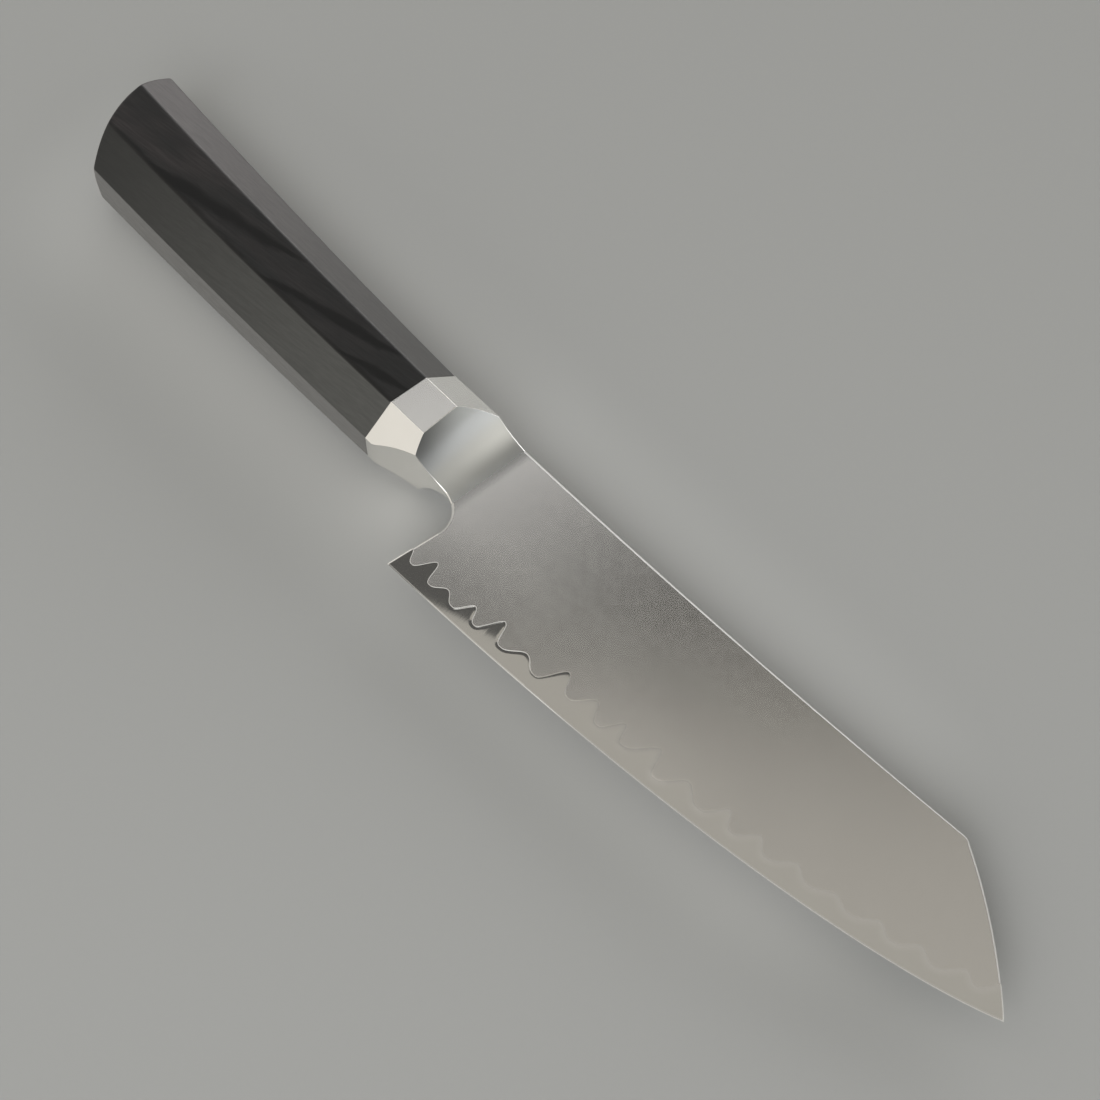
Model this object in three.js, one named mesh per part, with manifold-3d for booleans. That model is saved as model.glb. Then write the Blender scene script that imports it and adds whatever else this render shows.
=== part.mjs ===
// A ko-bunka kitchen knife lying on its left side, in millimetres: +X runs to the tip, +Y to the spine
// and +Z up, out of the right face. The parts are drawn about the middle of the joint between handle and
// bolster, with the middle plane of the blade at z = 0. The knife is then set down on its lower side.
import * as THREE from 'three';
import { mergeVertices } from 'three/addons/utils/BufferGeometryUtils.js';
import Module from 'manifold-3d';

const wasm = await Module();
wasm.setup();

// Handle: an eight-sided bar, growing taller towards the butt
const handleLength = 103.4; // on the centre line, from the joint to the dome of the butt
const handleThickness = 23;
const frontHeight = 24.4;
const rearHeight = 28.6;
const frontSideFacet = 9.5;
const rearSideFacet = 11.9;
const frontTopFacet = 8.2;
const rearTopFacet = 11.3;
const jointLean = 4.6; // degrees, the top of the joint leans to the tip
const buttLean = 15; // degrees, the top of the butt reaches further back
const buttRadius = 23.3; // dome of the butt
const bowRadius = 2100; // handle and spine share one gentle bow, hollow on the spine side
const bowLowest = 12; // from the joint to the lowest point of the bow

// Bolster: the collar behind the blade, scooped out on both sides and underneath
const creaseSet = 10; // from the joint to the start of the side scoops
const scoopRadius = 13;
const cheekWall = 0.3; // steel left beside the blade at the bolster's front
const neckDrop = 7.6; // from the centre line down to the top of the ramp
const rampRadius = 36;

// Blade
const spineThickness = 2;
const cornerThickness = 1.5;
const heelThickness = 0.9;
const coreThickness = 0.4;
const spineRise = 11.95; // from the centre line up to the spine, at the lowest point of the bow
const choilRadius = 6.3;
const heelSet = 4.2; // from the shoulder forward to the heel
const heelDrop = 27.5; // from the centre line down to the heel
const bladeLength = 154.5; // heel to tip along X
const tipDrop = 6;
const cornerSet = 29.7; // from the tip back to the corner of the spine
const frontRadius = 131; // slightly round front between corner and tip
const heelPull = 75; // how far the edge keeps to its direction at the heel
const heelAngle = 1.5; // degrees, rising to the tip
const tipPull = 26;
const tipAngle = 23;
const bevelWidth = 1.2;
const edgeThickness = 0.04;

// Wavy line where the cladding ends and the core shows
const firstCrest = 7.1; // along the edge from the heel
const crestPitch = 7.6;
const pitchDrift = 3; // the crests bunch up and spread out again
const driftCrests = 7;
const crestHeights = [8, 4.7, 6, 7.7, 6, 8.3, 8, 7.6]; // above the edge, in turn
const hollowHeight = 3.2;
const hollowShare = 0.4; // part of a wave's length from crest to hollow

// Tang, the blade's root and the resin bed
const tangThickness = 4;
const tangHeight = 13;
const tangLength = 92;
const tangRise = 2.2; // centre of the tang above the centre line
const weldSet = 6; // from the joint forward to the weld of tang and root
const resinWall = 0.5;
const resinSet = 1.5; // from the joint back to the front of the resin
const glueGap = 0.15; // clearance of every fitted face

const rearStations = 8;
const sidePoints = 3; // points on each facet of the handle
const curvePoints = 16;
const wavePoints = 8;

function finish(color, roughness, metalness) {
  return new THREE.MeshStandardMaterial({ color, roughness, metalness });
}

const blackWood = finish(0x2e2d2c, 0.5, 0);
const resin = finish(0x6d6552, 0.6, 0);
const tangSteel = finish(0x8d8c88, 0.5, 0.9);
const bolsterSteel = finish(0xc9c6bf, 0.35, 0.9);
const polishedSteel = finish(0xb4b2ab, 0.2, 1);
const matteSteel = finish(0xa3a19c, 0.55, 0.9);

const radians = THREE.MathUtils.degToRad;
const mix = THREE.MathUtils.lerp;
const halfThickness = handleThickness / 2;

// Height of the bowed centre line over the straight one through the joint
function bow(x) {
  const sag = (offset) => bowRadius - Math.sqrt(bowRadius ** 2 - offset ** 2);
  return sag(x - bowLowest) - sag(bowLowest);
}

// Corners of the handle's section as (y, z), at a share of its length from the joint to the butt
function octagon(share) {
  const top = mix(frontHeight, rearHeight, share) / 2;
  const side = mix(frontSideFacet, rearSideFacet, share) / 2;
  const flat = mix(frontTopFacet, rearTopFacet, share) / 2;
  const quarter = [[top, flat], [side, halfThickness]];
  const lower = quarter.map(([y, z]) => [-y, z]).reverse();
  const right = [...quarter, ...lower];
  const left = right.map(([y, z]) => [y, -z]).reverse();
  return [...right, ...left].map(([y, z]) => new THREE.Vector2(y, z));
}

// The same section with more points on each facet
function section(share) {
  const corners = octagon(share);
  return corners.flatMap((corner, i) => {
    const next = corners[(i + 1) % corners.length];
    return Array.from({ length: sidePoints }, (_, j) => corner.clone().lerp(next, j / sidePoints));
  });
}

// A closed body through a row of rings with equal numbers of points, with a flat cap on each end
function loft(rings) {
  const count = rings[0].length;
  const triangles = [];
  for (let ring = 0; ring + 1 < rings.length; ring++) {
    for (let i = 0; i < count; i++) {
      const a = ring * count + i;
      const b = ring * count + (i + 1) % count;
      triangles.push(a, a + count, b, b, a + count, b + count);
    }
  }
  const last = (rings.length - 1) * count;
  for (let i = 1; i + 1 < count; i++) {
    triangles.push(0, i, i + 1, last, last + i + 1, last + i);
  }
  const geometry = new THREE.BufferGeometry().setFromPoints(rings.flat());
  geometry.setIndex(triangles);
  return geometry;
}

// A shape drawn in XY, pulled up straight
function extrude(shape, depth) {
  return new THREE.ExtrudeGeometry(shape, { depth, bevelEnabled: false, curveSegments: curvePoints });
}

// A shape drawn in XY, standing between two heights that may depend on the place
function plate(shape, low, high) {
  const geometry = extrude(shape, 1);
  const position = geometry.attributes.position;
  for (let i = 0; i < position.count; i++) {
    const height = position.getZ(i) === 0 ? low : high;
    position.setZ(i, height(position.getX(i), position.getY(i)));
  }
  return geometry;
}

// A bar between two X positions, centred on the tang
function bar(rear, front, height, thickness) {
  const geometry = new THREE.BoxGeometry(front - rear, height, thickness);
  return geometry.translate((front + rear) / 2, tangRise, 0);
}

// A closed mesh as a solid that others can cut
function solid(geometry) {
  const bare = geometry.clone();
  bare.deleteAttribute('normal');
  bare.deleteAttribute('uv');
  const merged = mergeVertices(bare);
  const vertProperties = merged.attributes.position.array;
  const triVerts = new Uint32Array(merged.index.array);
  return new wasm.Manifold(new wasm.Mesh({ numProp: 3, vertProperties, triVerts }));
}

// A solid as a sub-part with its finish
function named(name, shape, material) {
  const mesh = shape.getMesh();
  const geometry = new THREE.BufferGeometry();
  geometry.setAttribute('position', new THREE.BufferAttribute(mesh.vertProperties, 3));
  geometry.setIndex(new THREE.BufferAttribute(mesh.triVerts, 1));
  geometry.computeVertexNormals();
  const part = new THREE.Mesh(geometry, material);
  part.name = name;
  return part;
}

// Handle: straight lines run from the leaning joint to the leaning, domed butt, lifted by the bow
const jointSlope = Math.tan(radians(jointLean));
const buttSlope = Math.tan(radians(buttLean));
const buttX = ({ x: y, y: z }) => -handleLength - y * buttSlope + (y * y + z * z) / (2 * buttRadius);

function handleRing(share, shrink) {
  return section(share).map((corner) => {
    const point = corner.multiplyScalar(shrink);
    const x = mix(point.x * jointSlope - glueGap, buttX(point), share);
    return new THREE.Vector3(x, point.x + bow(x), point.y);
  });
}

// The tang's bar, grown all round but for its front end
function tangBar(front, grown) {
  const rear = weldSet - tangLength - grown;
  return solid(bar(rear, front, tangHeight + 2 * grown, tangThickness + 2 * grown));
}

function makeHandle() {
  const rings = Array.from({ length: rearStations + 1 }, (_, i) => handleRing(i / rearStations, 1));
  rings.push(handleRing(1, 2 / 3), handleRing(1, 1 / 3));
  return solid(loft(rings)).subtract(tangBar(weldSet, resinWall + 2 * glueGap));
}

function makeResin() {
  return tangBar(-resinSet, resinWall + glueGap).subtract(tangBar(weldSet, glueGap));
}

function makeTang() {
  return tangBar(weldSet, 0);
}

// The bolster's scoops: arcs that start on the side facets and end level with the blade
const scoopDepth = halfThickness - spineThickness / 2;
const scoopReach = (depth) => Math.sqrt(2 * scoopRadius * depth - depth ** 2);
const scoopEnd = creaseSet + scoopReach(scoopDepth);
const bolsterFront = scoopEnd - scoopReach(cheekWall + glueGap);

// The shoulder is the leaning line where blade and bolster meet, and the blade is measured from its foot
const leanCos = Math.cos(radians(jointLean));
const shoulderX = (y) => (bolsterFront + glueGap) / leanCos + y * jointSlope;
const neckX = shoulderX(-neckDrop);

function makeBolster() {
  const collar = extrude(new THREE.Shape(octagon(0)), 4 * bolsterFront);
  const alongX = new THREE.Matrix4().set(0, 0, 1, -2 * bolsterFront, 1, 0, 0, 0, 0, 1, 0, 0, 0, 0, 0, 1);
  collar.applyMatrix4(alongX);

  const plan = new THREE.Shape();
  const startAngle = Math.atan2(scoopDepth - scoopRadius, creaseSet - scoopEnd);
  const endAngle = Math.asin((cheekWall + glueGap) / scoopRadius - 1);
  const frontAngle = -Math.PI - endAngle;
  const scoopCentre = spineThickness / 2 + scoopRadius;
  plan.moveTo(0, halfThickness);
  plan.lineTo(creaseSet, halfThickness);
  plan.absarc(scoopEnd, scoopCentre, scoopRadius, startAngle, frontAngle, false);
  plan.absarc(scoopEnd, -scoopCentre, scoopRadius, -frontAngle, -startAngle, false);
  plan.lineTo(0, -halfThickness);
  const scooped = extrude(plan, 4 * frontHeight);
  scooped.translate(0, 0, -2 * frontHeight).rotateX(-Math.PI / 2).rotateZ(-radians(jointLean));

  const ramp = new THREE.Shape();
  const below = -frontHeight;
  const rampCentre = -neckDrop - rampRadius;
  const footAngle = Math.PI - Math.asin((below - rampCentre) / rampRadius);
  ramp.absarc(neckX, rampCentre, rampRadius, footAngle, Math.PI / 2, true);
  ramp.absarc(neckX, -neckDrop - choilRadius, choilRadius, Math.PI / 2, 0, true);
  ramp.lineTo(neckX + choilRadius, below);
  const ramped = plate(ramp, () => -handleThickness, () => handleThickness);

  const rootSlot = bar(0, 2 * neckX, tangHeight + 2 * glueGap, spineThickness + 2 * glueGap);
  const body = solid(collar).intersect(solid(scooped)).subtract(solid(ramped));
  return body.subtract(solid(rootSlot)).subtract(tangBar(weldSet + glueGap, glueGap));
}

// Outline of the blade with its root
const heel = new THREE.Vector2(neckX + heelSet, -heelDrop);
const tip = new THREE.Vector2(heel.x + bladeLength, -tipDrop);
const spineY = (x) => spineRise + bow(x) - bow(bowLowest);
const corner = new THREE.Vector2(tip.x - cornerSet, spineY(tip.x - cornerSet));
const pull = (angle, length) => new THREE.Vector2(Math.cos(radians(angle)), Math.sin(radians(angle)))
  .multiplyScalar(length);
const heelGuide = heel.clone().add(pull(heelAngle, heelPull));
const tipGuide = tip.clone().sub(pull(tipAngle, tipPull));
const edge = new THREE.CubicBezierCurve(heel, heelGuide, tipGuide, tip);
const edgeLength = edge.getLength();

function bladeShape() {
  const shape = new THREE.Shape();
  const rootTop = tangRise + tangHeight / 2;
  const rootFoot = tangRise - tangHeight / 2;
  const rootEnd = weldSet + glueGap;
  shape.moveTo(rootEnd, rootFoot);
  shape.lineTo(shoulderX(rootFoot), rootFoot);
  shape.lineTo(neckX, -neckDrop);

  const choilCentre = new THREE.Vector2(neckX, -neckDrop - choilRadius);
  const toHeel = heel.clone().sub(choilCentre);
  const tangentAngle = toHeel.angle() - 2 * Math.PI + Math.acos(choilRadius / toHeel.length());
  shape.absarc(choilCentre.x, choilCentre.y, choilRadius, Math.PI / 2, tangentAngle, true);
  shape.lineTo(heel.x, heel.y);
  shape.bezierCurveTo(heelGuide.x, heelGuide.y, tipGuide.x, tipGuide.y, tip.x, tip.y);

  const chord = corner.clone().sub(tip);
  const middle = corner.clone().add(tip).multiplyScalar(0.5);
  const inward = new THREE.Vector2(-chord.y, chord.x).normalize();
  const frontCentre = middle.addScaledVector(inward, Math.sqrt(frontRadius ** 2 - chord.lengthSq() / 4));
  const angleTo = (point) => point.clone().sub(frontCentre).angle();
  shape.absarc(frontCentre.x, frontCentre.y, frontRadius, angleTo(tip), angleTo(corner), false);

  const spineStart = shoulderX(spineRise);
  for (let i = 1; i <= curvePoints; i++) {
    const x = mix(corner.x, spineStart, i / curvePoints);
    shape.lineTo(x, spineY(x));
  }
  shape.lineTo(shoulderX(rootTop), rootTop);
  shape.lineTo(rootEnd, rootTop);
  return shape;
}

// The sides of the blade are flat and run thinner to the edge and to the tip
const neckTop = new THREE.Vector3(shoulderX(spineRise), spineRise, spineThickness / 2);
const cornerTop = new THREE.Vector3(corner.x, corner.y, cornerThickness / 2);
const heelTop = new THREE.Vector3(heel.x, heel.y + hollowHeight, heelThickness / 2);
const side = new THREE.Plane().setFromCoplanarPoints(neckTop, heelTop, cornerTop);
const sideHeight = (x, y) => -(side.constant + side.normal.x * x + side.normal.y * y) / side.normal.z;
const rightOfCore = () => coreThickness / 2;
const leftOfCore = () => -coreThickness / 2;

// A point at a length along the edge from the heel and a height over it, also past either end
function overEdge(place, height) {
  const share = THREE.MathUtils.clamp(place / edgeLength, 0, 1);
  const tangent = edge.getTangentAt(share);
  const normal = new THREE.Vector2(-tangent.y, tangent.x);
  const point = edge.getPointAt(share).addScaledVector(tangent, place - share * edgeLength);
  return point.addScaledVector(normal, height);
}

const drift = (k) => pitchDrift * Math.sin(Math.PI * k / driftCrests) ** 2;
const crestAlong = (k) => firstCrest + crestPitch * k - drift(k);
const crestHeight = (k) => crestHeights[THREE.MathUtils.euclideanModulo(k, crestHeights.length)];
const lastCrest = Math.ceil((edgeLength + pitchDrift - firstCrest) / crestPitch) + 1;

// From each crest the line drops steeply to a hollow and climbs more gently to the next crest
function waveLine() {
  const bend = Math.log(0.5) / Math.log(hollowShare);
  const line = [];
  for (let k = -1; k < lastCrest; k++) {
    for (let i = 0; i < wavePoints; i++) {
      const turn = (i / wavePoints) ** bend;
      const crest = turn < 0.5 ? crestHeight(k) : crestHeight(k + 1);
      const height = mix(hollowHeight, crest, (1 + Math.cos(2 * Math.PI * turn)) / 2);
      line.push(overEdge(mix(crestAlong(k), crestAlong(k + 1), i / wavePoints), height));
    }
  }
  return line;
}

function makeCladding(low, high) {
  const wave = waveLine();
  const back = (share) => mix(crestAlong(lastCrest), crestAlong(-1), share);
  const below = wave.map((_, i) => overEdge(back(i / wave.length), -hollowHeight));
  const bare = new THREE.Shape([...wave, ...below]);
  const cut = plate(bare, () => -handleThickness, () => handleThickness);
  return solid(plate(bladeShape(), low, high)).subtract(solid(cut));
}

// The cutting edge: a flat bevel ground on each side of the core
function bevelCut(sign) {
  const rise = (coreThickness - edgeThickness) / 2 / bevelWidth;
  const level = (height) => edgeThickness / 2 + rise * height;
  const inner = [2 * bevelWidth, level(2 * bevelWidth)];
  const outer = [-bevelWidth, level(-bevelWidth)];
  const profile = [inner, outer, [-bevelWidth, spineThickness]];
  const stations = 3 * curvePoints;
  const rings = Array.from({ length: stations + 1 }, (_, i) => {
    const place = mix(-bevelWidth, edgeLength + bevelWidth, i / stations);
    const ring = profile.map(([height, z]) => {
      const point = overEdge(place, height);
      return new THREE.Vector3(point.x, point.y, sign * z);
    });
    return sign > 0 ? ring : ring.reverse();
  });
  return solid(loft(rings));
}

function makeCore() {
  const slab = plate(bladeShape(), leftOfCore, rightOfCore);
  return solid(slab).subtract(bevelCut(1)).subtract(bevelCut(-1));
}

const knife = new THREE.Group();
knife.add(
  named('handle', makeHandle(), blackWood),
  named('tang_adhesive', makeResin(), resin),
  named('tang', makeTang(), tangSteel),
  named('bolster', makeBolster(), bolsterSteel),
  named('blade_core', makeCore(), polishedSteel),
  named('blade_cladding_right', makeCladding(rightOfCore, sideHeight), matteSteel),
  named('blade_cladding_left', makeCladding((x, y) => -sideHeight(x, y), leftOfCore), matteSteel),
);

// The origin is on the handle's lower side facet, half way along the handle
knife.position.set(handleLength / 2, 0, halfThickness);
const part = new THREE.Group();
part.add(knife);

export default part;
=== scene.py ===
import bmesh
import bpy
import numpy as np
from mathutils import Matrix, Vector


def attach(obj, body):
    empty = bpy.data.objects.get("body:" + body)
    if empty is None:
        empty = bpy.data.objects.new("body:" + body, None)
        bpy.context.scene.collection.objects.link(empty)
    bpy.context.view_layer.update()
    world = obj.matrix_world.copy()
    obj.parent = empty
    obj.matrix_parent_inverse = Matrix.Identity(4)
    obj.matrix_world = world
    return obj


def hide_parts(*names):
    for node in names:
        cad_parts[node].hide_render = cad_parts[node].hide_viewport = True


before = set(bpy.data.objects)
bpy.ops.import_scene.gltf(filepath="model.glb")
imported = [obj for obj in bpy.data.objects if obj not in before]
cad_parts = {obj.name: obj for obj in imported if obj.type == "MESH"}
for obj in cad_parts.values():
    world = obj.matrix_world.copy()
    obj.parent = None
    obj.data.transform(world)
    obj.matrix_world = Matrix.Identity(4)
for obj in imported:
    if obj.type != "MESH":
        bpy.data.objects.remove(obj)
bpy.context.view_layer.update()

# Blade core: the hard middle layer of the clad blade, rolled between two softer ones. It shows at the spine
# as a thin middle line, and as a polished band along the cutting edge where the outer layers end.
mm = 0.001
joint_place = np.array([51.7, 0.0, 11.5])  # the sizes below are in mm from the middle of the handle's joint
bow_radius = 2100.0
bow_lowest = 12.0
joint_lean = np.radians(4.6)
neck = np.array([18.967, -7.6])
heel = np.array([23.167, -27.5])
tip = np.array([177.667, -6.0])
corner_set = 29.7
corner_ease = 0.9
spine_rise = 11.95
spine_start = 20.54
front_radius = 131.0
front_trim = 4  # points of the front that make way for the eased corner
choil_radius = 6.3
heel_pull = 75.0
heel_angle = np.radians(1.5)
tip_pull = 26.0
tip_angle = np.radians(23.0)
bevel_width = ([30, 60], [0.26, 0.45])  # lengths from the heel, and the bevel's width there
half_edge = 0.02
half_plate = 0.03
band_top = 10.0  # height over the edge above which the band lies one even step below the cladding
band_step = 0.04
band_fade = ([26, 38, 48, 80], [1, 0.4, 0.03, 0.012])  # lengths from the heel, and the step's share there
edge_tilt = np.radians(0.8)  # at the edge the band falls this much more than the cladding
tilt_fade = ([40, 58], [1, 0.05])  # lengths from the heel, and the share of this fall there
band_tuck = 0.06  # past the wavy line the band goes on this far under the cladding
tuck_drop = 0.08  # and falls by this much
nose_height = 3.4  # farther on, only this much over the edge is rounded off
nose_round = 0.08
groove_width = 0.7
groove_depth = 0.018
groove_fade = ([12, 17, 26, 38, 48, 80], [0, 1, 1, 0.4, 0.03, 0.012])
band_columns = 1300
band_rows = 26
row_power = 1.6  # the rows stand closer together near the wavy line
sharp_angle = np.radians(40)  # an edge that turns by more than this stays sharp
weld_reach = 2e-7  # points closer than this are one, in metres
rim_width = 0.22
bevel_frost = ([6, 10], [0.25, 0.9])  # lengths from the heel, and how far the bevel is frosted there
dull_width = 1.6  # far from the heel the polish grows dull and grey this far below the wavy line
dull_start = ([46, 66], [0, 1])
polished_colour = (0.525, 0.522, 0.495, 1)
clouded_colour = (0.50, 0.49, 0.47, 1)
polished_metal = 0.86
scratch_depth = 0.4e-6
dulled_colour = (0.56, 0.553, 0.533, 1)
dulled_roughness = 0.14
frosted_colour = (0.53, 0.527, 0.51, 1)
frosted_roughness = 0.5
frosted_metal = 0.25
# painted highlight: a pale frost colour for the choil's rims and for the wave slopes that face away from
# the lamp
pale_colour = (0.82, 0.81, 0.77, 1)


def bow(x):
    """Height of the bowed centre line: the sag of a wide circle, nought at the joint."""
    def sag(offset):
        return bow_radius - np.sqrt(bow_radius**2 - offset**2)
    return sag(x - bow_lowest) - sag(bow_lowest)


def arc(centre, radius, start, end, count):
    """Points of a circle, with the angle going evenly from start to end."""
    angle = np.linspace(start, end, count)
    return np.asarray(centre) + radius * np.stack([np.cos(angle), np.sin(angle)], axis=1)


def toward(angle):
    """The unit vector at an angle."""
    return np.array([np.cos(angle), np.sin(angle)])


def line(start, end, count):
    """Points evenly spaced on a straight line, without its end."""
    share = np.linspace(0, 1, count, endpoint=False)[:, None]
    return start + share * (end - start)


def spine_height(x):
    """The spine keeps one distance over the bowed centre line."""
    return spine_rise + bow(x) - bow(bow_lowest)


# The cutting edge is a cubic Bezier curve, measured off by its length
edge_guides = [heel, heel + heel_pull * toward(heel_angle), tip - tip_pull * toward(tip_angle), tip]
edge_share = np.linspace(0, 1, 4001)[:, None]
edge_points = (
    (1 - edge_share)**3 * edge_guides[0]
    + 3 * edge_share * (1 - edge_share)**2 * edge_guides[1]
    + 3 * edge_share**2 * (1 - edge_share) * edge_guides[2]
    + edge_share**3 * edge_guides[3]
)
edge_steps = np.linalg.norm(np.diff(edge_points, axis=0), axis=1)
edge_run = np.concatenate([[0], np.cumsum(edge_steps)])
edge_length = edge_run[-1]
edge_tangents = np.gradient(edge_points, edge_run, axis=0)


def over_edge(along, height):
    """A point at a length along the edge, moved square to it by a height. Past its ends the edge goes on
    straight."""
    inside = np.clip(along, 0, edge_length)
    point = np.stack([np.interp(inside, edge_run, edge_points[:, k]) for k in (0, 1)], axis=-1)
    tangent = np.stack([np.interp(inside, edge_run, edge_tangents[:, k]) for k in (0, 1)], axis=-1)
    normal = tangent[..., ::-1] * (-1, 1)
    return point + tangent * (along - inside)[..., None] + normal * np.asarray(height)[..., None]


# The choil is an arc from the neck and a straight line, tangent to it, down to the heel
choil_centre = neck - (0, choil_radius)
heel_away = heel - choil_centre
choil_turn = np.arctan2(heel_away[1], heel_away[0]) + np.arccos(choil_radius / np.linalg.norm(heel_away))
choil_arc = arc(choil_centre, choil_radius, np.pi / 2, choil_turn, 40)
choil_foot = choil_arc[-1]

# The front is a wide arc between the corner of the spine and the tip
corner = np.array([tip[0] - corner_set, spine_height(tip[0] - corner_set)])
chord = corner - tip
inward = np.array([-chord[1], chord[0]]) / np.linalg.norm(chord)
front_centre = (corner + tip) / 2 + inward * np.sqrt(front_radius**2 - chord @ chord / 4)
tip_turn = np.arctan2(*(tip - front_centre)[::-1])
corner_turn = np.arctan2(*(corner - front_centre)[::-1])


def from_edge(points):
    """The length along the edge and the height over it of points near the edge, by its nearest point."""
    away = np.linalg.norm(points[:, None] - edge_points[None], axis=2)
    nearest = away.argmin(axis=1)
    return np.stack([edge_run[nearest], away.min(axis=1)], axis=1)


# The wavy line: its turning points as lengths along the edge and heights over it, choil to front
choil_line = line(heel, choil_foot, 60)
front_line = arc(front_centre, front_radius, tip_turn, corner_turn, 121)
start_point = 29  # the points of these two lines at which the wave starts and ends
end_point = 23
first_turn = from_edge(choil_line)[start_point]
last_turn = from_edge(front_line)[end_point]
wave_start = choil_line[start_point]
hollow_turns = [
    (3.8, 3.4), (9.8, 2.7), (16.9, 2.5), (23.2, 2.7), (30.5, 2.95), (40.2, 3.1),
    (48.7, 4.05), (57.1, 3.65), (63.6, 3.8), (73.2, 2.6), (84.5, 3.3), (92.4, 3.5),
    (101.0, 3.6), (111.0, 4.0), (121.0, 3.8), (130.6, 3.7), (140.2, 3.7), (149.4, 4.2),
]
crest_turns = [
    (7.4, 7.45), (13.4, 4.65), (20.3, 5.95), (27.3, 7.7), (35.6, 5.6), (44.9, 8.45),
    (53.6, 7.7), (61.3, 7.8), (70.3, 8.25), (79.0, 6.5), (89.2, 7.2), (97.4, 6.6),
    (106.6, 6.3), (116.2, 5.6), (126.6, 5.9), (136.0, 6.0), (146.0, 6.2),
]
wave_turns = np.array([first_turn, *hollow_turns, *crest_turns, last_turn])
wave_turns = wave_turns[np.argsort(wave_turns[:, 0])]
crest_power = 1.35  # the crests are narrower than the hollows
wave_lean = 0.3  # the crests lean to the tip by this much of their height
wave_points = 1400


def leaning_wave(count):
    """Half a cosine from each turn to the next, raised to a power that sharpens the crests, then sheared
    along the edge. Returns lengths along the edge and heights over it."""
    upright = wave_turns[:, 0] - wave_lean * wave_turns[:, 1]
    place = np.linspace(upright[0], upright[-1], count)
    after = np.clip(np.searchsorted(upright, place), 1, len(upright) - 1)
    start = wave_turns[after - 1, 1]
    end = wave_turns[after, 1]
    share = (place - upright[after - 1]) / (upright[after] - upright[after - 1])
    swing = (1 - np.cos(np.pi * np.clip(share, 0, 1))) / 2
    rise = np.where(end > start, swing, 1 - swing)
    height = np.minimum(start, end) + np.abs(end - start) * rise**crest_power
    return place + wave_lean * height, height


wave_along, wave_height = leaning_wave(wave_points)
wave_line = over_edge(wave_along, wave_height)

# The flat sides of the blade grow thinner from the neck's top to the heel and to the corner: three places
# on them, each with half the blade's thickness
side_points = np.array([[spine_start, spine_rise, 1.0], [heel[0], -24.3, 0.5], [*corner, 0.75]])
side_slopes = np.linalg.solve(np.c_[side_points[:, :2], np.ones(3)], side_points[:, 2])


def side_height(x, y):
    """Half the blade's thickness: a plane through three measured places."""
    return side_slopes[0] * x + side_slopes[1] * y + side_slopes[2]


def band_height(place, along, height):
    """The polished band lies one step below the cladding's side. It falls away to the edge by the square of
    the way below its top, as a surface honed slightly round does. Far from the heel it falls, by the same
    law, only close to the edge."""
    fall = edge_tilt * np.maximum(band_top - height, 0)**2 / (2 * band_top)
    nose = nose_round * np.maximum(nose_height - height, 0)**2 / 2
    step = band_step * np.interp(along, *band_fade)
    fade = np.interp(along, *tilt_fade)
    return side_height(place[..., 0], place[..., 1]) - step - fade * fall - (1 - fade) * nose


def least_distance(points, path):
    """Distance of each point to the nearest point of a path, worked out block by block."""
    blocks = np.array_split(points, max(1, len(points) // 2000))
    return np.concatenate([
        np.sqrt(((block[:, None] - path[None])**2).sum(axis=2).min(axis=1)) for block in blocks
    ])


def loft(name, rings, **marks):
    """A closed body through a row of rings with equal numbers of points, with a flat cap on each end. Marks
    are shares for each point, kept as named attributes, by which the finish changes over the piece."""
    count, size = rings.shape[:2]
    index = np.arange(count * size).reshape(count, size)
    near = index[:-1]
    far = index[1:]
    quads = np.stack([near, np.roll(near, -1, 1), np.roll(far, -1, 1), far], axis=-1).reshape(-1, 4)
    faces = quads.tolist() + [index[0, ::-1].tolist(), index[-1].tolist()]
    points = (rings.reshape(-1, 3) + joint_place) * mm
    mesh = bpy.data.meshes.new(name)
    mesh.from_pydata(points, [], faces)
    for label, shares in marks.items():
        attribute = mesh.attributes.new(label, "FLOAT", "POINT")
        attribute.data.foreach_set("value", shares.ravel().astype(np.float32))
    shell = bmesh.new()
    shell.from_mesh(mesh)
    bmesh.ops.remove_doubles(shell, verts=shell.verts, dist=weld_reach)
    bmesh.ops.dissolve_degenerate(shell, edges=shell.edges, dist=weld_reach / 2)
    if shell.calc_volume(signed=True) < 0:
        bmesh.ops.reverse_faces(shell, faces=shell.faces)
    shell.to_mesh(mesh)
    shell.free()
    mesh.set_sharp_from_angle(angle=sharp_angle)
    sizes = np.zeros(len(mesh.polygons), int)
    mesh.polygons.foreach_get("loop_total", sizes)
    mesh.polygons.foreach_set("use_smooth", sizes <= 4)
    piece = bpy.data.objects.new(name, mesh)
    bpy.context.scene.collection.objects.link(piece)
    return piece


def rim_share(distance):
    """How far the steel is frosted near a rim: fully up to 0.73 of the rim's width, not at all past 1.4."""
    return np.clip(1.5 * (1.4 - distance / rim_width), 0, 1)


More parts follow.
